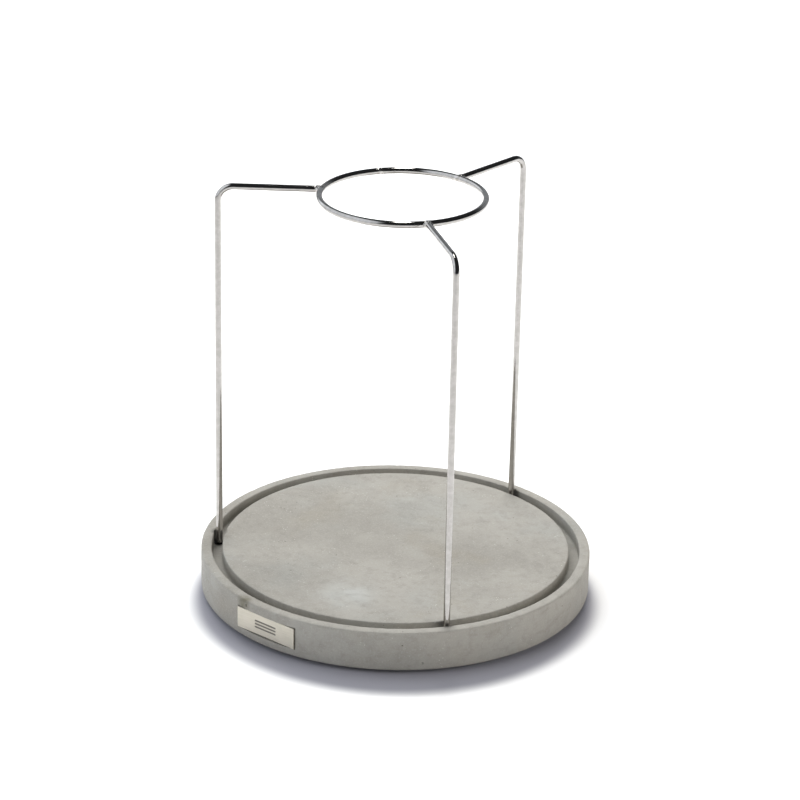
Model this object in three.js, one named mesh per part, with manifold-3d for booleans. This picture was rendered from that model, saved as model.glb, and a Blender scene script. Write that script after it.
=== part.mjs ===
// Hair dryer holder: a round cast concrete base with a wire frame plugged into it.
// Millimetres, +Z up. The origin is the centre of the footprint, on the surface the foot pads stand on.
// The nameplate faces -Y, midway between the two front legs. The third leg is at the back, close to +Y.

import * as THREE from 'three';
import { mergeVertices } from 'three/addons/utils/BufferGeometryUtils.js';
import Module from 'manifold-3d';

// Base casting
const BASE_RADIUS = 90;
const BASE_HEIGHT = 18.6;
const RIM_INNER_RADIUS = 85.2;
const PLATEAU_RADIUS = 80.2;
const GROOVE_DEPTH = 5.8;
const EDGE_BREAK = 0.6;
const GROOVE_EDGE_BREAK = 0.4;
const BASE_SIDES = 96;

// Foot pads
const PAD_COUNT = 4;
const PAD_RADIUS = 6;
const PAD_HEIGHT = 2;
const PAD_CIRCLE_RADIUS = 66;
const PAD_FIRST_ANGLE = 45;

// Wire frame
const WIRE_RADIUS = 1.5;
const WIRE_SIDES = 16;
const RING_RADIUS = 36.9;
const RING_HEIGHT = 188.5;
const RING_STEPS = 96;
const LEG_CIRCLE_RADIUS = 83;
const BEND_RADIUS = 7;
const BEND_STEPS = 8;

// Leg sockets: a drilled hole, lined with a soft sleeve below the groove floor
const SOCKET_RADIUS = 2.7;
const SOCKET_FLOOR = 5;
const SLEEVE_OUTER_RADIUS = 2.4;
const SLEEVE_INNER_RADIUS = 1.8;
const SLEEVE_FLOOR = 1;

// The welds are spaced evenly round the ring. The hand-bent arms run slightly off the radius to reach them.
const LEGS = [
  { place: 'front_right', legAngle: -34, weldAngle: -33 },
  { place: 'back', legAngle: 88, weldAngle: 87 },
  { place: 'front_left', legAngle: 213, weldAngle: 207 },
];

// Welds
const WELD_GAP = 1.2;
const WELD_RADIUS = 2.3;
const SEAM_ANGLE = 147;
const SEAM_LENGTH = 2.4;
const SEAM_RADIUS = 1.75;

// Nameplate and the adhesive strip behind it
const PLATE_WIDTH = 33.8;
const PLATE_HEIGHT = 10;
const PLATE_THICKNESS = 0.8;
const PLATE_CENTRE_HEIGHT = 9;
const PLATE_FACE = 89.2;
const PLATE_CORNER_RADIUS = 0.3;
const TAPE_WIDTH = 31;
const TAPE_HEIGHT = 7.5;
const TAPE_THICKNESS = 0.5;

// Touching pieces keep this much room between them
const CLEARANCE = 0.3;

const BASE_BOTTOM = PAD_HEIGHT;
const BASE_TOP = BASE_BOTTOM + BASE_HEIGHT;
const GROOVE_FLOOR = BASE_TOP - GROOVE_DEPTH;
const RING_Z = BASE_BOTTOM + RING_HEIGHT;

const materials = {
  concrete: new THREE.MeshStandardMaterial({ color: 0xaaa8a2, roughness: 0.92, metalness: 0 }),
  wire: new THREE.MeshStandardMaterial({ color: 0xd6d6d8, roughness: 0.12, metalness: 1 }),
  weld: new THREE.MeshStandardMaterial({ color: 0xc9c9cc, roughness: 0.25, metalness: 1 }),
  nameplate: new THREE.MeshStandardMaterial({ color: 0xd4cfc3, roughness: 0.35, metalness: 0.9 }),
  tape: new THREE.MeshStandardMaterial({ color: 0x3a3a3c, roughness: 0.9, metalness: 0 }),
  rubber: new THREE.MeshStandardMaterial({ color: 0x1b1b1b, roughness: 0.85, metalness: 0 }),
};

const wasm = await Module();
wasm.setup();

const model = new THREE.Group();

function addPart(name, geometry, material) {
  const mesh = new THREE.Mesh(geometry, material);
  mesh.name = name;
  model.add(mesh);
  return mesh;
}

function toSolid(geometry) {
  const bare = geometry.clone();
  bare.deleteAttribute('normal');
  bare.deleteAttribute('uv');
  const merged = mergeVertices(bare, 1e-4);
  const vertProperties = new Float32Array(merged.attributes.position.array);
  const triVerts = new Uint32Array(merged.index.array);
  return new wasm.Manifold(new wasm.Mesh({ numProp: 3, vertProperties, triVerts }));
}

function toGeometry(solid) {
  const mesh = solid.getMesh();
  const geometry = new THREE.BufferGeometry();
  geometry.setAttribute('position', new THREE.BufferAttribute(new Float32Array(mesh.vertProperties), 3));
  geometry.setIndex(new THREE.BufferAttribute(new Uint32Array(mesh.triVerts), 1));
  geometry.computeVertexNormals();
  return geometry;
}

// Turns a profile of [radius, height] points about the Z axis.
function turned(profile, sides) {
  const points = profile.map(([radius, height]) => new THREE.Vector2(radius, height));
  return new THREE.LatheGeometry(points, sides).rotateX(Math.PI / 2);
}

function upright(radius, bottom, top, sides) {
  return turned([[0, bottom], [radius, bottom], [radius, top], [0, top]], sides);
}

function polar(radius, degrees, height) {
  const angle = THREE.MathUtils.degToRad(degrees);
  return new THREE.Vector3(radius * Math.cos(angle), radius * Math.sin(angle), height);
}

// A wire's centre line, walked from corner to corner: a straight run is one step and a bend is several.
class WirePath extends THREE.Curve {
  constructor(corners) {
    super();
    this.corners = corners;
  }

  get steps() {
    return this.corners.length - 1;
  }

  getPoint(t, target = new THREE.Vector3()) {
    const place = THREE.MathUtils.clamp(t, 0, 1) * this.steps;
    const before = Math.min(Math.floor(place), this.steps - 1);
    return target.lerpVectors(this.corners[before], this.corners[before + 1], place - before);
  }

  getPointAt(t, target) {
    return this.getPoint(t, target);
  }

  getTangentAt(t, target = new THREE.Vector3()) {
    const corner = Math.round(t * this.steps);
    const arriving = this.corners[Math.max(corner, 1)].clone().sub(this.corners[Math.max(corner, 1) - 1]);
    const last = Math.min(corner + 1, this.steps);
    const leaving = this.corners[last].clone().sub(this.corners[last - 1]);
    return target.copy(arriving.normalize().add(leaving.normalize())).normalize();
  }
}

function wire(corners, radius) {
  const section = new THREE.Shape();
  for (let side = 0; side < WIRE_SIDES; side += 1) {
    const angle = (side / WIRE_SIDES) * 2 * Math.PI;
    const x = radius * Math.cos(angle);
    const y = radius * Math.sin(angle);
    if (side === 0) section.moveTo(x, y);
    else section.lineTo(x, y);
  }
  const path = new WirePath(corners);
  return new THREE.ExtrudeGeometry(section, { steps: path.steps, extrudePath: path });
}

function baseSlab() {
  const slab = toSolid(turned([
    [0, BASE_BOTTOM],
    [BASE_RADIUS - EDGE_BREAK, BASE_BOTTOM],
    [BASE_RADIUS, BASE_BOTTOM + EDGE_BREAK],
    [BASE_RADIUS, BASE_TOP - EDGE_BREAK],
    [BASE_RADIUS - EDGE_BREAK, BASE_TOP],
    [RIM_INNER_RADIUS + GROOVE_EDGE_BREAK, BASE_TOP],
    [RIM_INNER_RADIUS, BASE_TOP - GROOVE_EDGE_BREAK],
    [RIM_INNER_RADIUS, GROOVE_FLOOR + GROOVE_EDGE_BREAK],
    [RIM_INNER_RADIUS - GROOVE_EDGE_BREAK, GROOVE_FLOOR],
    [PLATEAU_RADIUS + GROOVE_EDGE_BREAK, GROOVE_FLOOR],
    [PLATEAU_RADIUS, GROOVE_FLOOR + GROOVE_EDGE_BREAK],
    [PLATEAU_RADIUS, BASE_TOP - GROOVE_EDGE_BREAK],
    [PLATEAU_RADIUS - GROOVE_EDGE_BREAK, BASE_TOP],
    [0, BASE_TOP],
  ], BASE_SIDES));
  const pocketFloor = PLATE_FACE - PLATE_THICKNESS - TAPE_THICKNESS - 2 * CLEARANCE;
  const pocketDepth = BASE_RADIUS + 1 - pocketFloor;
  const pocket = new THREE.BoxGeometry(PLATE_WIDTH + 2 * CLEARANCE, pocketDepth, PLATE_HEIGHT + 2 * CLEARANCE)
    .translate(0, -(pocketFloor + pocketDepth / 2), BASE_BOTTOM + PLATE_CENTRE_HEIGHT);
  let solid = slab.subtract(toSolid(pocket));
  for (const { legAngle } of LEGS) {
    const centre = polar(LEG_CIRCLE_RADIUS, legAngle, 0);
    const hole = upright(SOCKET_RADIUS, BASE_BOTTOM + SOCKET_FLOOR, BASE_TOP + 1, 24)
      .translate(centre.x, centre.y, 0);
    solid = solid.subtract(toSolid(hole));
  }
  return toGeometry(solid);
}

function socketSleeve({ legAngle }) {
  const bottom = BASE_BOTTOM + SOCKET_FLOOR + CLEARANCE;
  const centre = polar(LEG_CIRCLE_RADIUS, legAngle, 0);
  return turned([
    [0, bottom],
    [SLEEVE_OUTER_RADIUS, bottom],
    [SLEEVE_OUTER_RADIUS, GROOVE_FLOOR],
    [SLEEVE_INNER_RADIUS, GROOVE_FLOOR],
    [SLEEVE_INNER_RADIUS, bottom + SLEEVE_FLOOR],
    [0, bottom + SLEEVE_FLOOR],
  ], 24).translate(centre.x, centre.y, 0);
}

function footPad(index) {
  const centre = polar(PAD_CIRCLE_RADIUS, PAD_FIRST_ANGLE + (index * 360) / PAD_COUNT, 0);
  return turned([
    [0, 0],
    [PAD_RADIUS - 0.6, 0],
    [PAD_RADIUS, 0.6],
    [PAD_RADIUS, PAD_HEIGHT - CLEARANCE],
    [0, PAD_HEIGHT - CLEARANCE],
  ], 32).translate(centre.x, centre.y, 0);
}

function nameplate() {
  const halfWidth = PLATE_WIDTH / 2;
  const halfHeight = PLATE_HEIGHT / 2;
  const corner = PLATE_CORNER_RADIUS;
  const outline = new THREE.Shape([
    new THREE.Vector2(-halfWidth + corner, -halfHeight),
    new THREE.Vector2(halfWidth - corner, -halfHeight),
    new THREE.Vector2(halfWidth, -halfHeight + corner),
    new THREE.Vector2(halfWidth, halfHeight - corner),
    new THREE.Vector2(halfWidth - corner, halfHeight),
    new THREE.Vector2(-halfWidth + corner, halfHeight),
    new THREE.Vector2(-halfWidth, halfHeight - corner),
    new THREE.Vector2(-halfWidth, -halfHeight + corner),
  ]);
  return new THREE.ExtrudeGeometry(outline, { depth: PLATE_THICKNESS, bevelEnabled: false })
    .rotateX(Math.PI / 2)
    .translate(0, PLATE_THICKNESS - PLATE_FACE, BASE_BOTTOM + PLATE_CENTRE_HEIGHT);
}

function nameplateTape() {
  const back = PLATE_FACE - PLATE_THICKNESS - CLEARANCE - TAPE_THICKNESS / 2;
  return new THREE.BoxGeometry(TAPE_WIDTH, TAPE_THICKNESS, TAPE_HEIGHT)
    .translate(0, -back, BASE_BOTTOM + PLATE_CENTRE_HEIGHT);
}

// Where an arm points to on the outside of the ring, and its level direction from the leg towards there.
function armLine({ legAngle, weldAngle }) {
  const contact = polar(RING_RADIUS + WIRE_RADIUS, weldAngle, RING_Z);
  const direction = contact.clone().sub(polar(LEG_CIRCLE_RADIUS, legAngle, RING_Z)).normalize();
  return { contact, direction };
}

// One leg: up from its socket, round the bend, and in along a level arm towards the ring.
function legCorners(leg) {
  const { contact, direction } = armLine(leg);
  const tip = BASE_BOTTOM + SOCKET_FLOOR + SLEEVE_FLOOR + 2 * CLEARANCE;
  const corners = [polar(LEG_CIRCLE_RADIUS, leg.legAngle, tip)];
  for (let step = 0; step <= BEND_STEPS; step += 1) {
    const turn = (step / BEND_STEPS) * (Math.PI / 2);
    const height = RING_Z - BEND_RADIUS * (1 - Math.sin(turn));
    const corner = polar(LEG_CIRCLE_RADIUS, leg.legAngle, height);
    corners.push(corner.addScaledVector(direction, BEND_RADIUS * (1 - Math.cos(turn))));
  }
  corners.push(contact.addScaledVector(direction, -WELD_GAP));
  return corners;
}

// The ring is one length of wire, rolled round until its ends meet at the seam weld.
function ringCorners(radius) {
  const halfSeam = THREE.MathUtils.radToDeg((SEAM_LENGTH / 2 + CLEARANCE) / radius);
  const sweep = 360 - 2 * halfSeam;
  const corners = [];
  for (let step = 0; step <= RING_STEPS; step += 1) {
    corners.push(polar(radius, SEAM_ANGLE + halfSeam + (step / RING_STEPS) * sweep, RING_Z));
  }
  return corners;
}

function seamWeld() {
  const centre = polar(RING_RADIUS, SEAM_ANGLE, RING_Z);
  return turned([
    [0, -SEAM_LENGTH / 2],
    [WIRE_RADIUS, -SEAM_LENGTH / 2],
    [SEAM_RADIUS, 0],
    [WIRE_RADIUS, SEAM_LENGTH / 2],
    [0, SEAM_LENGTH / 2],
  ], WIRE_SIDES)
    .rotateX(Math.PI / 2)
    .rotateZ(THREE.MathUtils.degToRad(SEAM_ANGLE))
    .translate(centre.x, centre.y, centre.z);
}

// The weld is a bead that fills the corner between an arm's end and the outside of the ring.
function armWeld(leg) {
  const { contact, direction } = armLine(leg);
  const centre = contact.clone().addScaledVector(direction, -WELD_GAP / 2);
  const bead = new THREE.SphereGeometry(WELD_RADIUS, 20, 14).translate(centre.x, centre.y, centre.z);
  const start = contact.clone().addScaledVector(direction, CLEARANCE - WELD_GAP);
  const beyond = start.clone().addScaledVector(direction, -3 * WELD_RADIUS);
  const armRoom = wire([start, beyond], WIRE_RADIUS + CLEARANCE);
  const ringRoom = new THREE.TorusGeometry(RING_RADIUS, WIRE_RADIUS + CLEARANCE, WIRE_SIDES, RING_STEPS)
    .translate(0, 0, RING_Z);
  return toGeometry(toSolid(bead).subtract(toSolid(armRoom)).subtract(toSolid(ringRoom)));
}

addPart('base_slab', baseSlab(), materials.concrete);
addPart('nameplate', nameplate(), materials.nameplate);
addPart('nameplate_tape', nameplateTape(), materials.tape);
for (let index = 0; index < PAD_COUNT; index += 1) {
  addPart(`foot_pad_${index + 1}`, footPad(index), materials.rubber);
}
for (const leg of LEGS) {
  addPart(`socket_sleeve_${leg.place}`, socketSleeve(leg), materials.rubber);
  addPart(`leg_${leg.place}`, wire(legCorners(leg), WIRE_RADIUS), materials.wire);
  addPart(`arm_weld_${leg.place}`, armWeld(leg), materials.weld);
}
addPart('ring', wire(ringCorners(RING_RADIUS), WIRE_RADIUS), materials.wire);
addPart('ring_seam_weld', seamWeld(), materials.weld);

export default model;
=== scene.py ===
# A countertop hair dryer holder: a cast concrete base with a polished wire frame plugged into it.

import math
import random

import bmesh
import bpy
from mathutils import Matrix, Quaternion, Vector, noise


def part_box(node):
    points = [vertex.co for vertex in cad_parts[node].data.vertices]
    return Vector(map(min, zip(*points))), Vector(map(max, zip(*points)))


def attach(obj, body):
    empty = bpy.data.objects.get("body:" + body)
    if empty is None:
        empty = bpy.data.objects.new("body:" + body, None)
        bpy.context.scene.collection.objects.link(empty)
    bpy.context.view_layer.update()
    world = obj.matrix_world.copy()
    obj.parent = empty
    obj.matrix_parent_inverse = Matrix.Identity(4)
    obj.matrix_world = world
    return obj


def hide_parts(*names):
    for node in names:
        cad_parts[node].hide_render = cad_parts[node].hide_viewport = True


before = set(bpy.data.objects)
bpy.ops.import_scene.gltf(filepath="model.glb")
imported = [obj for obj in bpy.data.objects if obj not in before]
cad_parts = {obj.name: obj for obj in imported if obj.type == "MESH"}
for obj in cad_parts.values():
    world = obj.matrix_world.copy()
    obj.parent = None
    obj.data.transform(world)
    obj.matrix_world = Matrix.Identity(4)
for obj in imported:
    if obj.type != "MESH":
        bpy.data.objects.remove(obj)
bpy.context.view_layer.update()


# ---- Camera --------------------------------------------------------------------------------------
# A long portrait lens, a little above the counter and to the right of the nameplate.
# It aims at the middle of the stand and is turned slightly about its own axis.

camera_aim = Vector((0.0005, 0.0004, 0.0931))
camera_azimuth = math.radians(-50.16)
camera_elevation = math.radians(22.87)
camera_distance = 1.3422
camera_roll = math.radians(1.18)

camera_data = bpy.data.cameras.new("camera")
camera_data.sensor_width = 36
camera_data.lens = 132.87
camera = bpy.data.objects.new("camera", camera_data)
bpy.context.scene.collection.objects.link(camera)
towards_camera = Vector((
    math.cos(camera_azimuth) * math.cos(camera_elevation),
    math.sin(camera_azimuth) * math.cos(camera_elevation),
    math.sin(camera_elevation),
))
camera.location = camera_aim + camera_distance * towards_camera
camera.rotation_mode = "QUATERNION"
camera.rotation_quaternion = towards_camera.to_track_quat("Z", "Y") @ Quaternion((0, 0, 1), camera_roll)
bpy.context.scene.camera = camera
bpy.context.scene.view_settings.view_transform = "Standard"


# ---- Base casting --------------------------------------------------------------------------------
# One disc of fine grey concrete, cast upside down in a smooth mould, so its top is dense and matt.
# An annular groove leaves a flat rim and a flat plateau. Three holes for the legs are drilled in the
# groove afterwards, and a shallow flat pocket in the wall takes the nameplate.

MM = 0.001
slab_low, slab_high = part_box("base_slab")
slab_radius = (slab_high.x - slab_low.x) / 2
rim_inner_radius = 85.2 * MM
plateau_radius = 80.2 * MM
groove_depth = 5.8 * MM
weld_angles = {"front_right": -33, "back": 87, "front_left": 207}
socket_radius = 2.7 * MM
wire_radius = 1.5 * MM


def ring_point(radius, degrees, height):
    """A point on a level circle about the stand's axis, by its angle from +X."""
    angle = math.radians(degrees)
    return Vector((radius * math.cos(angle), radius * math.sin(angle), height))


def middle_of(node):
    low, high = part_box(node)
    return (low + high) / 2


leg_places = {}
for position in weld_angles:
    sleeve_middle = middle_of("socket_sleeve_" + position)
    leg_places[position] = Vector((sleeve_middle.x, sleeve_middle.y, 0))


def fillet(corners, steps=6):
    """Rounds the corners of a profile. Each corner is (radius from the axis, height, rounding)."""
    points = []
    for index, (r, z, rounding) in enumerate(corners):
        here = Vector((r, z))
        if rounding == 0 or index in (0, len(corners) - 1):
            points.append(here)
            continue
        back = (Vector(corners[index - 1][:2]) - here).normalized()
        ahead = (Vector(corners[index + 1][:2]) - here).normalized()
        half = back.angle(ahead) / 2
        reach = rounding / math.tan(half)
        centre = here + (back + ahead).normalized() * rounding / math.sin(half)
        start = here + back * reach - centre
        sweep = start.angle_signed(here + ahead * reach - centre)
        for step in range(steps + 1):
            turn = -sweep * step / steps
            turned_start = Vector((
                start.x * math.cos(turn) - start.y * math.sin(turn),
                start.x * math.sin(turn) + start.y * math.cos(turn),
            ))
            points.append(centre + turned_start)
    return points


def divide(points, longest):
    """Adds points to a profile so that no stretch of it is longer than asked."""
    divided = [points[0]]
    for before, after in zip(points, points[1:]):
        pieces = max(1, math.ceil((after - before).length / longest))
        divided += [before.lerp(after, piece / pieces) for piece in range(1, pieces + 1)]
    return divided


def turn_on_lathe(name, profile, sides):
    """Makes a closed mesh from a profile that starts and ends on the axis, lowest point first."""
    mesh = bmesh.new()
    rows = []
    for r, z in profile:
        if r < 1e-9:
            rows.append([mesh.verts.new((0, 0, z))])
        else:
            rows.append([mesh.verts.new(ring_point(r, 360 * side / sides, z)) for side in range(sides)])
    for lower, upper in zip(rows, rows[1:]):
        for side in range(sides):
            following = (side + 1) % sides
            if len(lower) == 1:
                mesh.faces.new((lower[0], upper[following], upper[side]))
            elif len(upper) == 1:
                mesh.faces.new((lower[side], lower[following], upper[0]))
            else:
                mesh.faces.new((lower[side], lower[following], upper[following], upper[side]))
    return finish_mesh(name, mesh)


def finish_mesh(name, mesh, smooth_below=35):
    """Turns mesh work into an object, smooth except where faces meet at a sharp angle."""
    bmesh.ops.recalc_face_normals(mesh, faces=mesh.faces)
    for face in mesh.faces:
        face.smooth = True
    data = bpy.data.meshes.new(name)
    mesh.to_mesh(data)
    mesh.free()
    data.set_sharp_from_angle(angle=math.radians(smooth_below))
    piece = bpy.data.objects.new(name, data)
    bpy.context.scene.collection.objects.link(piece)
    return piece


def apply_modifiers(piece):
    """Keeps the result of a piece's modifiers as its mesh."""
    graph = bpy.context.evaluated_depsgraph_get()
    data = bpy.data.meshes.new_from_object(piece.evaluated_get(graph), depsgraph=graph)
    piece.modifiers.clear()
    piece.data = data


def cut(piece, cutter):
    """Cuts one piece with another and throws the cutter away."""
    modifier = piece.modifiers.new("cut", "BOOLEAN")
    modifier.operation = "DIFFERENCE"
    modifier.solver = "EXACT"
    modifier.object = cutter
    apply_modifiers(piece)
    bpy.data.objects.remove(cutter)
    piece.data.set_sharp_from_angle(angle=math.radians(35))


slab_bottom = slab_low.z
slab_top = slab_high.z
groove_floor = slab_top - groove_depth
slab_profile = divide(fillet([
    (0, slab_bottom, 0),
    (slab_radius, slab_bottom, 1.1 * MM),
    (slab_radius, slab_top, 0.9 * MM),
    (rim_inner_radius, slab_top, 0.55 * MM),
    (rim_inner_radius, groove_floor, 0.9 * MM),
    (plateau_radius, groove_floor, 0.9 * MM),
    (plateau_radius, slab_top, 0.6 * MM),
    (0, slab_top, 0),
]), 4.5 * MM)
slab = turn_on_lathe("concrete_base", slab_profile, 720)

# A hand-made mould leaves slow waves, and small crumbs break from the thin edges.
wave_size = 0.10 * MM
crumb_size = 0.28 * MM
edge_lines = [(slab_radius, slab_top), (rim_inner_radius, slab_top), (plateau_radius, slab_top)]
for vertex in slab.data.vertices:
    place = vertex.co.copy()
    radius = math.hypot(place.x, place.y)
    outward = Vector((place.x, place.y, 0)) / max(radius, MM)
    wave = noise.noise(place * 38) + 0.45 * noise.noise(place * 120) + 0.25 * noise.noise(place * 420)
    if place.z > slab_top - 0.5 * MM:
        vertex.co.z += wave_size * wave * 0.7
    elif radius > slab_radius - 0.5 * MM:
        vertex.co += outward * wave_size * wave
    edge = min(math.hypot(radius - r, place.z - z) for r, z in edge_lines)
    if edge < 1.0 * MM:
        crumb = max(0, noise.noise(place * 330 + Vector((7, 3, 1))) - 0.28) * 2.2
        crumb += max(0, noise.noise(place * 900) - 0.2) * 0.5
        vertex.co.z -= crumb_size * crumb * (1 - edge / (1.0 * MM))


socket_floor = slab_bottom + 5 * MM
drill_top = slab_top + 2 * MM
drill_profile = [(0, socket_floor), (socket_radius, socket_floor), (socket_radius, drill_top), (0, drill_top)]
for place in leg_places.values():
    drill = turn_on_lathe("drill", drill_profile, 64)
    drill.data.transform(Matrix.Translation(place))
    cut(slab, drill)


def block(low, high):
    """Mesh work holding one box between two corners."""
    mesh = bmesh.new()
    bmesh.ops.create_cube(mesh, size=1)
    for vertex in mesh.verts:
        vertex.co = Vector(low[i] + (vertex.co[i] + 0.5) * (high[i] - low[i]) for i in range(3))
    return mesh


plate_low, plate_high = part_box("nameplate")
tape_low, tape_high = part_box("nameplate_tape")
plate_room = 0.3 * MM
pocket_low = Vector((plate_low.x - plate_room, -slab_radius - 2 * MM, plate_low.z - plate_room))
pocket_high = Vector((plate_high.x + plate_room, tape_high.y + plate_room, plate_high.z + plate_room))
cut(slab, finish_mesh("pocket", block(pocket_low, pocket_high)))

# Air bubbles against the mould leave pin holes, mostly in the wall.
random.seed(11)
bubbles = bmesh.new()
bubble_places = []


def add_bubble(centre, radius):
    """Adds a pin hole, unless it would run into one that is there already or into a leg's socket."""
    if any((centre - other).length < radius + size + 0.1 * MM for other, size in bubble_places):
        return
    if any(math.hypot(centre.x - leg.x, centre.y - leg.y) < 5 * MM for leg in leg_places.values()):
        return
    bubble_places.append((centre, radius))
    bmesh.ops.create_icosphere(bubbles, subdivisions=2, radius=radius, matrix=Matrix.Translation(centre))


wall_bubbles = 34
rim_bubbles = 16
plateau_bubbles = 14
for number in range(wall_bubbles):
    degrees = random.uniform(0, 360)
    height = slab_bottom + random.uniform(1.5, 16.5) * MM
    size = random.uniform(0.16, 0.42) * MM
    near_plate = abs((degrees - 270 + 180) % 360 - 180) < 13
    if not near_plate:
        add_bubble(ring_point(slab_radius + size * 0.2, degrees, height), size)
for number in range(rim_bubbles):
    size = random.uniform(0.15, 0.34) * MM
    radius = random.uniform(rim_inner_radius + 1.2 * MM, slab_radius - 1.4 * MM)
    add_bubble(ring_point(radius, random.uniform(0, 360), slab_top + size * 0.2), size)
for number in range(plateau_bubbles):
    size = random.uniform(0.12, 0.26) * MM
    radius = plateau_radius * math.sqrt(random.uniform(0.01, 0.95))
    add_bubble(ring_point(radius, random.uniform(0, 360), slab_top + size * 0.3), size)
large_bubbles = ((262.8, 16.2, 0.75), (260.2, 16.9, 0.35), (265.4, 16.1, 0.3), (318, 3.6, 0.7))
for degrees, height, size in large_bubbles:
    add_bubble(ring_point(slab_radius + 0.05 * MM, degrees, slab_bottom + height * MM), size * MM)
cut(slab, finish_mesh("bubbles", bubbles))


class Finish:
    """One socket of a material's nodes. Arithmetic on it adds the Math nodes that are needed."""

    def __init__(self, tree, socket):
        self.tree = tree
        self.socket = socket

    def node(self, kind, settings, sockets, output=0):
        made = self.tree.nodes.new(kind)
        for name, value in settings.items():
            setattr(made, name, value)
        for key, value in sockets.items():
            if isinstance(value, Finish):
                self.tree.links.new(value.socket, made.inputs[key])
            else:
                made.inputs[key].default_value = value
        return Finish(self.tree, made.outputs[output])

    def maths(self, operation, first, second=0.0):
        return self.node("ShaderNodeMath", {"operation": operation}, {0: first, 1: second})

    def __add__(self, other):
        return self.maths("ADD", self, other)

    __radd__ = __add__

    def __sub__(self, other):
        return self.maths("SUBTRACT", self, other)

    def __rsub__(self, other):
        return self.maths("SUBTRACT", other, self)

    def __mul__(self, other):
        return self.maths("MULTIPLY", self, other)

    __rmul__ = __mul__

    def cloud(self, scale, detail=4.0, roughness=0.55, offset=(0, 0, 0)):
        """Soft noise over the surface, from 0 to 1, with this many patches to the metre."""
        moved = self.node("ShaderNodeVectorMath", {"operation": "ADD"}, {0: self, 1: offset})
        sockets = {"Vector": moved, "Scale": scale, "Detail": detail, "Roughness": roughness}
        return self.node("ShaderNodeTexNoise", {"noise_dimensions": "3D"}, sockets)

    def stretched(self, factors):
        return self.node("ShaderNodeVectorMath", {"operation": "MULTIPLY"}, {0: self, 1: factors})

    def step(self, low, high):
        """Rises smoothly from 0 at low to 1 at high, or falls where low is the higher."""
        settings = {"interpolation_type": "SMOOTHSTEP"}
        return self.node("ShaderNodeMapRange", settings, {"Value": self, "From Min": low, "From Max": high})

    def tint(self, first, second):
        """Goes from the first colour to the second as this mask goes from 0 to 1."""
        sockets = {"Factor": self}
        sockets[6] = first if isinstance(first, Finish) else (*first, 1)
        sockets[7] = second if isinstance(second, Finish) else (*second, 1)
        return self.node("ShaderNodeMix", {"data_type": "RGBA"}, sockets, output=2)

    def distance_to(self, point, flat=False):
        """How far the surface is from a point, or with flat from the upright line through it."""
        place = self.stretched((1, 1, 0)) if flat else self
        target = (point[0], point[1], 0) if flat else tuple(point)
        return self.node("ShaderNodeVectorMath", {"operation": "DISTANCE"}, {0: place, 1: target}, output=1)

    def along(self, axis):
        """How far along X, Y or Z the surface is."""
        return self.node("ShaderNodeSeparateXYZ", {}, {0: self}, output="XYZ".index(axis))


def start_material(name):
    """A new material with its shader, and the place on the surface in metres as a Finish."""
    material = bpy.data.materials.new(name)
    material.use_nodes = True
    tree = material.node_tree
    shader = tree.nodes["Principled BSDF"]
    coordinates = tree.nodes.new("ShaderNodeTexCoord")
    return material, shader, Finish(tree, coordinates.outputs["Object"])


def connect(shader, channel, finish):
    """Feeds one of the shader's channels with something that varies over the surface."""
    finish.tree.links.new(finish.socket, shader.inputs[channel])


def add_bump(shader, height, strength, distance):
    """Roughens the skin by a height that varies over it, up to the distance given."""
    sockets = {"Height": height, "Strength": strength, "Distance": distance}
    connect(shader, "Normal", height.node("ShaderNodeBump", {}, sockets))


def shade(red, green, blue):
    """A colour as a person reads it, 0 to 255, in the linear light that a shader needs."""
    def linear(value):
        part = value / 255
        return part / 12.92 if part < 0.04045 else ((part + 0.055) / 1.055) ** 2.4
    return linear(red), linear(green), linear(blue)


concrete, shader, place = start_material("cast_concrete")
clouds = place.cloud(15, detail=5, roughness=0.62)
blotches = place.cloud(44, detail=6, roughness=0.66, offset=(3, 1, 0))
mottle = place.cloud(230, detail=6, roughness=0.68)
grain = place.cloud(1300, detail=4, roughness=0.75)
flow = place.stretched((1, 1, 3.2)).cloud(85, detail=6, roughness=0.7, offset=(0, 5, 2))
body_colour = clouds.step(0.36, 0.64).tint(shade(147, 144, 137), shade(161, 158, 151))
cool_patch = place.cloud(22, detail=5, offset=(8, 2, 4)).step(0.5, 0.7) * 0.3
cooled = cool_patch.tint(body_colour, shade(149, 152, 149))
bloom_place = Vector((0.0185, -0.054, slab_top))
bloom = place.distance_to(bloom_place).step(18 * MM, 3 * MM) * blotches.step(0.3, 0.55) * 0.5
cement_bloom = bloom.maths("MAXIMUM", bloom, blotches.step(0.58, 0.8) * 0.3)
bloomed = cement_bloom.tint(cooled, shade(183, 186, 184))
warm_stain = place.cloud(31, detail=5, offset=(5, 5, 9)).step(0.55, 0.75) * 0.3
stained = warm_stain.tint(bloomed, shade(147, 140, 125))
worn = (flow.step(0.5, 0.74) * 0.34).tint(stained, shade(126, 123, 116))
mottled = (mottle.step(0.46, 0.68) * 0.27).tint(worn, shade(124, 121, 113))
grained = (grain.step(0.50, 0.68) * 0.34).tint(mottled, shade(184, 182, 176))
sand = place.node("ShaderNodeTexVoronoi", {"feature": "F1"}, {"Vector": place, "Scale": 620.0})
sparse = place.cloud(90, detail=2, offset=(1, 9, 5)).step(0.56, 0.64)
pale_specks = sand.step(0.18, 0.08) * sparse * 0.7
specked = pale_specks.tint(grained, shade(214, 212, 206))
pore_field = place.node("ShaderNodeTexVoronoi", {"feature": "F1"}, {"Vector": place, "Scale": 260.0})
pore_places = place.cloud(70, detail=2, offset=(6, 6, 1)).step(0.55, 0.62)
pores = pore_field.step(0.11, 0.045) * pore_places
shader_colour = (pores * 0.75).tint(specked, shade(76, 72, 65))
# Patchy noise shared by the painted shade round the sockets and the stain by the nameplate.
stain_and_shade_noise = place.cloud(300, detail=4).step(0.25, 0.7)
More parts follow.
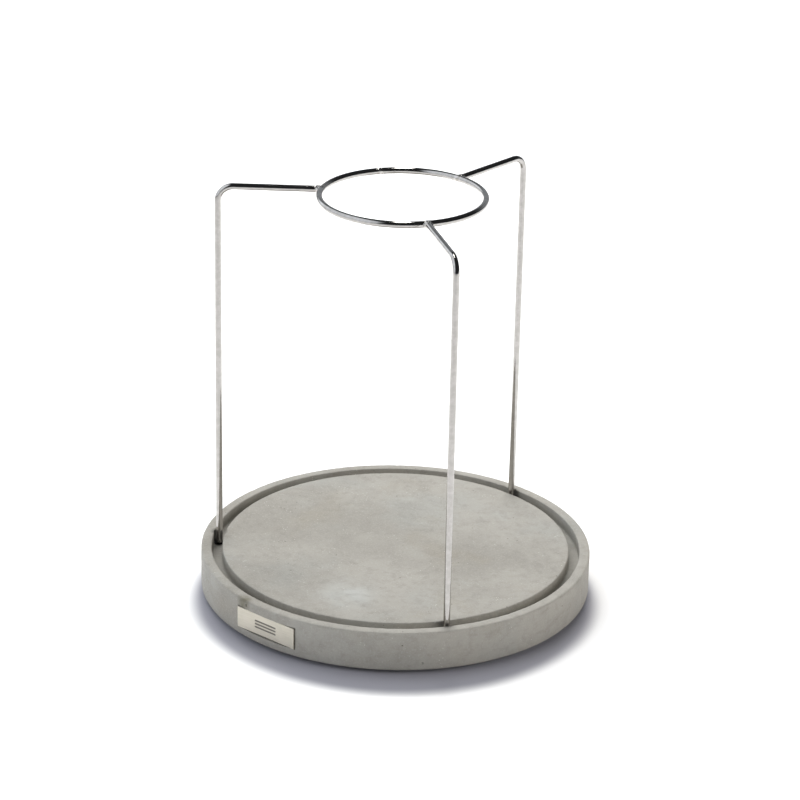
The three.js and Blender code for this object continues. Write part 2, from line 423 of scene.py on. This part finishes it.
# Painted shade: the concrete is darkened in and just round each leg's socket, where the drilled notch and the
# leg's foot lie in shadow.
for leg_place in leg_places.values():
    painted_socket_shade = place.distance_to(leg_place, flat=True).step(4.6 * MM, 2.4 * MM) * (0.35 + 0.45 * stain_and_shade_noise)
    shader_colour = painted_socket_shade.tint(shader_colour, shade(52, 50, 46))
chip_place = ring_point(slab_radius, 261.5, slab_bottom + 16.6 * MM)
chip_stain = place.distance_to(chip_place).step(5.6 * MM, 1.5 * MM) * (0.35 + 0.55 * stain_and_shade_noise)
shader_colour = chip_stain.tint(shader_colour, shade(104, 101, 84))
connect(shader, "Base Color", shader_colour)
connect(shader, "Roughness", 0.94 - 0.14 * clouds.step(0.3, 0.7) - 0.06 * mottle)
shader.inputs["Specular IOR Level"].default_value = 0.35
height = 0.45 * mottle + 0.35 * grain + 0.5 * blotches - 1.4 * pores
add_bump(shader, height, 0.7, 0.2 * MM)
slab.data.materials.clear()
slab.data.materials.append(concrete)
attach(slab, "base")
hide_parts("base_slab")


# ---- Nameplate -----------------------------------------------------------------------------------
# A flat strip of thin warm-toned steel with a satin face and sheared, slightly eased edges.
# It carries a plain engraved mark of three lines, and is stuck into the pocket in the wall.

plate_easing = 0.16 * MM
mark_depth = 0.12 * MM
mark_length = 12.6 * MM
mark_line_height = 0.85 * MM
mark_spacing = 1.55 * MM

plate_mesh = block(plate_low, plate_high)
bmesh.ops.bevel(plate_mesh, geom=list(plate_mesh.edges), offset=plate_easing, segments=3, affect="EDGES")
plate = finish_mesh("metal_nameplate", plate_mesh)
plate_centre = (plate_low + plate_high) / 2


def engraver(centre):
    """A flat bar with round ends that reaches from outside into the plate's face."""
    mesh = bmesh.new()
    outline = []
    end_steps = 10
    for end in (1, -1):
        for step in range(end_steps + 1):
            angle = math.radians(-90 + 180 * step / end_steps) + (0 if end == 1 else math.pi)
            x = end * (mark_length - mark_line_height) / 2 + math.cos(angle) * mark_line_height / 2
            outline.append((x, math.sin(angle) * mark_line_height / 2))
    rows = []
    for y in (-1 * MM, mark_depth):
        rows.append([mesh.verts.new(centre + Vector((x, y, z))) for x, z in outline])
    mesh.faces.new(rows[0])
    mesh.faces.new(rows[1])
    for index in range(len(outline)):
        following = (index + 1) % len(outline)
        mesh.faces.new((rows[0][index], rows[0][following], rows[1][following], rows[1][index]))
    return finish_mesh("engraver", mesh)


for line in (1, 0, -1):
    cut(plate, engraver(Vector((0, plate_low.y, plate_centre.z + line * mark_spacing))))

satin, shader, place = start_material("satin_nameplate_steel")
brush_lines = place.stretched((14, 1, 620)).cloud(9, detail=4, roughness=0.6)
fine_lines = place.stretched((40, 1, 2400)).cloud(5, detail=3)
handling = place.cloud(170, detail=4)
engraved = place.along("Y").step(plate_low.y + 0.03 * MM, plate_low.y + 0.08 * MM)
engraved_front = engraved * place.along("Y").step(plate_low.y + 0.3 * MM, plate_low.y + 0.2 * MM)
face_colour = brush_lines.step(0.3, 0.7).tint(shade(196, 190, 176), shade(208, 203, 190))
aged = (handling.step(0.45, 0.75) * 0.35).tint(face_colour, shade(186, 184, 169))
across = place.along("X")
near_mark = across.maths("ABSOLUTE", across).step(7.2 * MM, 6.6 * MM)
mark_mask = engraved_front * near_mark
connect(shader, "Base Color", (mark_mask * 0.85).tint(aged, shade(96, 92, 88)))
connect(shader, "Roughness", 0.40 + 0.10 * fine_lines + 0.3 * mark_mask)
connect(shader, "Metallic", 0.75 - 0.5 * mark_mask)
add_bump(shader, brush_lines + 0.6 * fine_lines, 0.25, 0.02 * MM)
plate.data.materials.clear()
plate.data.materials.append(satin)
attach(plate, "base")
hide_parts("nameplate")


# ---- Adhesive strip ------------------------------------------------------------------------------
# A strip of thin black foam tape behind the nameplate, cut a little smaller than it.
# It is pressed into the pocket first, and the plate is pressed onto it.

foam, shader, place = start_material("black_foam_tape")
cells = place.node("ShaderNodeTexVoronoi", {"feature": "F1"}, {"Vector": place, "Scale": 3200.0})
connect(shader, "Base Color", cells.step(0.1, 0.6).tint(shade(26, 26, 27), shade(46, 46, 47)))
connect(shader, "Roughness", 0.82 + 0.12 * cells)
add_bump(shader, cells, 0.5, 0.05 * MM)
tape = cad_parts["nameplate_tape"]
tape.data.materials.clear()
tape.data.materials.append(foam)


# ---- Foot pads -----------------------------------------------------------------------------------
# Four self-adhesive black rubber bumpers, moulded as low discs with an eased lower edge.
# They lift the concrete clear of the counter and stop it from scratching.

rubber, shader, place = start_material("black_rubber")
skin = place.cloud(900, detail=4, roughness=0.65)
dust = place.cloud(140, detail=5)
connect(shader, "Base Color", (dust.step(0.45, 0.8) * 0.6).tint(shade(24, 24, 23), shade(48, 47, 45)))
connect(shader, "Roughness", 0.70 + 0.18 * dust.step(0.3, 0.7))
add_bump(shader, skin, 0.4, 0.05 * MM)

pad_names = sorted(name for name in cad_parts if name.startswith("foot_pad"))
pad_dish = 0.12 * MM
pad_top = slab_bottom - 0.01 * MM
for name in pad_names:
    pad_low, pad_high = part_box(name)
    pad_radius = (pad_high.x - pad_low.x) / 2
    pad_profile = divide(fillet([
        (0, pad_dish, 0),
        (pad_radius * 0.5, pad_dish, 0.4 * MM),
        (pad_radius * 0.62, 0, 0.4 * MM),
        (pad_radius - 0.25 * MM, 0, 0.7 * MM),
        (pad_radius, slab_bottom - 0.35 * MM, 0.2 * MM),
        (pad_radius, pad_top, 0),
        (0, pad_top, 0),
    ], steps=5), 1.2 * MM)
    pad = turn_on_lathe("rubber_" + name, pad_profile, 72)
    pad_middle = middle_of(name)
    pad.data.transform(Matrix.Translation((pad_middle.x, pad_middle.y, 0)))
    pad.data.materials.append(rubber)
    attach(pad, "base")
    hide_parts(name)


# ---- Socket sleeves ------------------------------------------------------------------------------
# A short soft sleeve with a closed bottom lines each drilled hole, level with the groove floor.
# The wire pushes into it, and the frame pulls straight out again.

mouth_radius = 1.72 * MM
sleeve_floor_thickness = 1 * MM
for position, leg_place in leg_places.items():
    node = "socket_sleeve_" + position
    sleeve_low, sleeve_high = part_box(node)
    sleeve_radius = (sleeve_high.x - sleeve_low.x) / 2
    sleeve_floor = sleeve_low.z + sleeve_floor_thickness
    sleeve_profile = divide(fillet([
        (0, sleeve_low.z, 0),
        (sleeve_radius, sleeve_low.z, 0.3 * MM),
        (sleeve_radius, sleeve_high.z, 0.25 * MM),
        (mouth_radius, sleeve_high.z, 0.25 * MM),
        (mouth_radius, sleeve_floor, 0.2 * MM),
        (0, sleeve_floor, 0),
    ], steps=5), 1.2 * MM)
    sleeve = turn_on_lathe("rubber_" + node, sleeve_profile, 64)
    sleeve.data.transform(Matrix.Translation(leg_place))
    sleeve.data.materials.append(rubber)
    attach(sleeve, "base")
    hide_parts(node)


# ---- Legs ----------------------------------------------------------------------------------------
# Three lengths of round steel wire, cut, bent cold round a small former and polished before welding.
# Each stands in its socket and turns in along a level arm towards the ring.

ring_low, ring_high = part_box("ring")
ring_height = (ring_low.z + ring_high.z) / 2
ring_radius = (ring_high.y - ring_low.y) / 2 - wire_radius
bend_radius = 7 * MM
weld_gap = 1.2 * MM
end_easing = 0.35 * MM
straight_steps = 40
bend_steps = 28
arm_steps = 10


def sweep_wire(name, points, radius_at, sides=32):
    """Sweeps a circle along the points, with the radius that radius_at gives from 0 to 1 along them."""
    mesh = bmesh.new()
    rows = []
    tangents = []
    for index in range(len(points)):
        before = points[max(index - 1, 0)]
        after = points[min(index + 1, len(points) - 1)]
        tangents.append((after - before).normalized())
    across = tangents[0].orthogonal().normalized()
    for index, (point, tangent) in enumerate(zip(points, tangents)):
        if index:
            across = (tangents[index - 1].rotation_difference(tangent) @ across).normalized()
        beside = tangent.cross(across)
        radius = radius_at(index / (len(points) - 1))
        row = []
        for side in range(sides):
            angle = 2 * math.pi * side / sides
            spoke = across * math.cos(angle) + beside * math.sin(angle)
            row.append(mesh.verts.new(point + spoke * radius))
        rows.append(row)
    for lower, upper in zip(rows, rows[1:]):
        for side in range(sides):
            following = (side + 1) % sides
            mesh.faces.new((lower[side], lower[following], upper[following], upper[side]))
    mesh.faces.new(rows[0])
    mesh.faces.new(rows[-1])
    return finish_mesh(name, mesh, smooth_below=50)


def arm_line(position):
    """An arm's corner above its leg, where it meets the outside of the ring, and its level direction."""
    contact = ring_point(ring_radius + wire_radius, weld_angles[position], ring_height)
    corner = leg_places[position] + Vector((0, 0, ring_height))
    return corner, contact, (contact - corner).normalized()


polished, shader, place = start_material("polished_steel_wire")
haze = place.cloud(420, detail=4, roughness=0.6)
drawn = place.stretched((2600, 2600, 40)).cloud(1, detail=3)
prints = place.cloud(60, detail=4, offset=(4, 4, 4))
connect(shader, "Base Color", haze.step(0.35, 0.7).tint(shade(180, 177, 173), shade(194, 191, 188)))
connect(shader, "Roughness", 0.05 + 0.05 * haze + 0.06 * prints.step(0.5, 0.75))
shader.inputs["Metallic"].default_value = 1.0
add_bump(shader, 0.7 * drawn + 0.3 * haze, 0.10, 0.02 * MM)

for position in leg_places:
    node = "leg_" + position
    leg_low, leg_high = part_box(node)
    corner, contact, inward = arm_line(position)
    foot = Vector((corner.x, corner.y, leg_low.z))
    points = [foot, foot + Vector((0, 0, end_easing))]
    bend_start = Vector((corner.x, corner.y, ring_height - bend_radius))
    points += [points[1].lerp(bend_start, step / straight_steps) for step in range(1, straight_steps)]
    for step in range(bend_steps + 1):
        turn = math.pi / 2 * step / bend_steps
        rise = Vector((corner.x, corner.y, ring_height - bend_radius * (1 - math.sin(turn))))
        points.append(rise + inward * bend_radius * (1 - math.cos(turn)))
    arm_start = points[-1]
    arm_end = contact - inward * weld_gap
    points += [arm_start.lerp(arm_end, step / arm_steps) for step in range(1, arm_steps + 1)]
    leg = sweep_wire("wire_" + node, points, lambda t: wire_radius * (0.82 if t == 0 else 1))
    leg.data.materials.append(polished)
    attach(leg, "wire_frame")
    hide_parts(node)


# ---- Ring ----------------------------------------------------------------------------------------
# One length of the same wire, rolled into a hoop until its ends meet, then welded and polished.
# The dryer's nozzle or barrel drops into it.

seam_angle = 147
seam_gap = 3 * MM
seam_half_gap = math.degrees(seam_gap / 2 / ring_radius)
ring_steps = 360
ring_points = []
for step in range(ring_steps + 1):
    degrees = seam_angle + seam_half_gap + (360 - 2 * seam_half_gap) * step / ring_steps
    ring_points.append(ring_point(ring_radius, degrees, ring_height))
hoop = sweep_wire("wire_ring", ring_points, lambda t: wire_radius)
hoop.data.materials.append(polished)
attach(hoop, "wire_frame")
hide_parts("ring")


# ---- Welds ---------------------------------------------------------------------------------------
# Small bright beads of fused wire: one where the ring's ends meet, and one where each arm butts
# against the outside of the ring. They are brushed over but not ground away.

bead_metal, shader, place = start_material("weld_bead_steel")
ripple = place.cloud(1600, detail=3)
heat = place.cloud(500, detail=3, offset=(2, 7, 1))
connect(shader, "Base Color", heat.step(0.4, 0.75).tint(shade(204, 201, 197), shade(166, 159, 150)))
connect(shader, "Roughness", 0.14 + 0.18 * ripple)
shader.inputs["Metallic"].default_value = 1.0
add_bump(shader, ripple, 0.5, 0.12 * MM)


def melt(pieces, name, voxel, smoothing, lumps):
    """Fuses pieces into one soft-cornered bead with a slightly lumpy skin."""
    mesh = bmesh.new()
    for piece in pieces:
        mesh.from_mesh(piece.data)
        bpy.data.objects.remove(piece)
    bead = finish_mesh(name, mesh)
    remesh = bead.modifiers.new("fuse", "REMESH")
    remesh.mode = "VOXEL"
    remesh.voxel_size = voxel
    smooth = bead.modifiers.new("flow", "SMOOTH")
    smooth.factor = 0.5
    smooth.iterations = smoothing
    apply_modifiers(bead)
    for vertex in bead.data.vertices:
        lump = noise.noise(vertex.co * 1300) + 0.5 * noise.noise(vertex.co * 3100)
        vertex.co += vertex.normal * lump * lumps
    for face in bead.data.polygons:
        face.use_smooth = True
    bead.data.materials.append(bead_metal)
    return bead


def ball(centre, radius):
    """A blob of filler, to be fused with its neighbours."""
    mesh = bmesh.new()
    bmesh.ops.create_icosphere(mesh, subdivisions=3, radius=radius, matrix=Matrix.Translation(centre))
    return finish_mesh("ball", mesh)


def ring_stretch(middle, half_length, radius):
    """A short length of the ring, a little fatter than the wire."""
    half_angle = math.degrees(half_length / ring_radius)
    points = [ring_point(ring_radius, middle + half_angle * (step / 4 - 1), ring_height) for step in range(9)]
    return sweep_wire("stretch", points, lambda t: radius * (1 - 0.10 * abs(2 * t - 1)))


bead_voxel = 0.16 * MM
for position in leg_places:
    corner, contact, inward = arm_line(position)
    along_ring = ring_point(1, weld_angles[position] + 90, 0)
    root = contact - inward * 0.2 * MM
    collar_points = [contact - inward * (3.0 - 0.5 * step) * MM for step in range(8)]
    parts = [
        sweep_wire("collar", collar_points, lambda t: wire_radius * (0.98 + 0.22 * t * t)),
        ring_stretch(weld_angles[position], 2.3 * MM, wire_radius * 1.10),
        ball(root + along_ring * 1.25 * MM, 1.0 * MM),
        ball(root - along_ring * 1.25 * MM, 1.0 * MM),
        ball(root + Vector((0, 0, 0.75 * MM)), 1.05 * MM),
        ball(root - Vector((0, 0, 0.9 * MM)), 0.9 * MM),
    ]
    node = "arm_weld_" + position
    bead = melt(parts, "bead_" + node, bead_voxel, smoothing=7, lumps=0.045 * MM)
    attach(bead, "wire_frame")
    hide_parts(node)

seam_parts = [ring_stretch(seam_angle, 2.2 * MM, wire_radius * 1.08)]
seam_centre = ring_point(ring_radius, seam_angle, ring_height)
seam_blobs = 7
seam_blob_radius = 0.85 * MM
for number in range(seam_blobs):
    around = 2 * math.pi * number / seam_blobs
    spoke = ring_point(1, seam_angle, 0) * math.cos(around) + Vector((0, 0, math.sin(around)))
    seam_parts.append(ball(seam_centre + spoke * seam_blob_radius, seam_blob_radius))
seam = melt(seam_parts, "bead_ring_seam_weld", bead_voxel, smoothing=5, lumps=0.05 * MM)
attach(seam, "wire_frame")
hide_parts("ring_seam_weld")


# ---- Studio --------------------------------------------------------------------------------------
# A seamless pale floor, lit by a long strip above and behind the stand, with a weak ceiling and two
# weak boxes at the front. Polished wire shows a dim room, with a window on the left and a grey wall
# behind.

stand_middle = Vector((0, 0, 0.09))
behind = Vector((-towards_camera.x, -towards_camera.y, 0)).normalized()
right_hand = Vector((behind.y, -behind.x, 0))

floor_mesh = bmesh.new()
bmesh.ops.create_circle(floor_mesh, cap_ends=True, segments=96, radius=6)
floor = finish_mesh("studio_floor", floor_mesh)
paint, shader, place = start_material("pale_floor_paint")
floor_colour = place.cloud(3, detail=3).tint(shade(247, 247, 248), shade(250, 250, 250))
# Painted shadow: the floor colour is darkened to a bluish grey in a disc round the base, shifted a little
# towards the camera, standing in for the base's shadow.
painted_shadow_middle = -14 * MM * behind
painted_floor_shadow = place.distance_to(painted_shadow_middle, flat=True).step(97 * MM, 88 * MM)
connect(shader, "Base Color", painted_floor_shadow.tint(floor_colour, shade(164, 164, 173)))
shader.inputs["Roughness"].default_value = 0.9
shader.inputs["Specular IOR Level"].default_value = 0.1
floor.data.materials.append(paint)


def add_soft_light(name, place, aim, width, height, power, colour, mirrored=False):
    """A rectangular soft box. Polished wire shows it only where mirrored is on."""
    data = bpy.data.lights.new(name, "AREA")
    data.shape = "RECTANGLE"
    data.size = width
    data.size_y = height
    data.energy = power
    data.color = colour
    light = bpy.data.objects.new(name, data)
    bpy.context.scene.collection.objects.link(light)
    light.location = place
    light.rotation_mode = "QUATERNION"
    light.rotation_quaternion = (place - aim).to_track_quat("Z", "Y")
    light.visible_glossy = mirrored


near_white = (1.0, 0.995, 0.985)
warm_white = (1.0, 0.97, 0.93)
ceiling_place = behind * 1.1 + Vector((0, 0, 2.1))
ceiling_aim = behind * 0.6
add_soft_light("ceiling_panel", ceiling_place, ceiling_aim, 3.0, 2.4, 15, near_white)
for side, name, power in ((-1, "left_fill", 3.6), (1, "right_fill", 11.0)):
    fill_place = stand_middle - behind * 0.75 + right_hand * side * 1.25 + Vector((0, 0, 0.55))
    add_soft_light(name, fill_place, stand_middle, 0.8, 0.8, power, warm_white)
key_place = stand_middle + behind * 0.95 - right_hand * 0.12 + Vector((0, 0, 0.95))
add_soft_light("back_strip", key_place, stand_middle, 1.3, 0.26, 20.5, near_white)
overhead_place = stand_middle + behind * 0.35 + Vector((0, 0, 1.3))
add_soft_light("overhead_box", overhead_place, stand_middle, 0.16, 0.6, 3, near_white, mirrored=True)

world = bpy.data.worlds.new("studio")
world.use_nodes = True
background = world.node_tree.nodes["Background"]
outlook = world.node_tree.nodes.new("ShaderNodeTexCoord")
direction = Finish(world.node_tree, outlook.outputs["Generated"])
rise = direction.along("Z")
back_share = direction.along("X") * behind.x + direction.along("Y") * behind.y
left_share = direction.along("X") * -right_hand.x + direction.along("Y") * -right_hand.y
window = (left_share + 0.25 * rise).step(0.46, 0.72)
backdrop = back_share.step(0.35, 0.85) * rise.step(0.62, 0.3)
strength = 0.03 + 1.15 * window + 0.34 * backdrop
background.inputs["Color"].default_value = (0.88, 0.93, 1.0, 1)
world.node_tree.links.new(strength.socket, background.inputs["Strength"])
bpy.context.scene.world = world
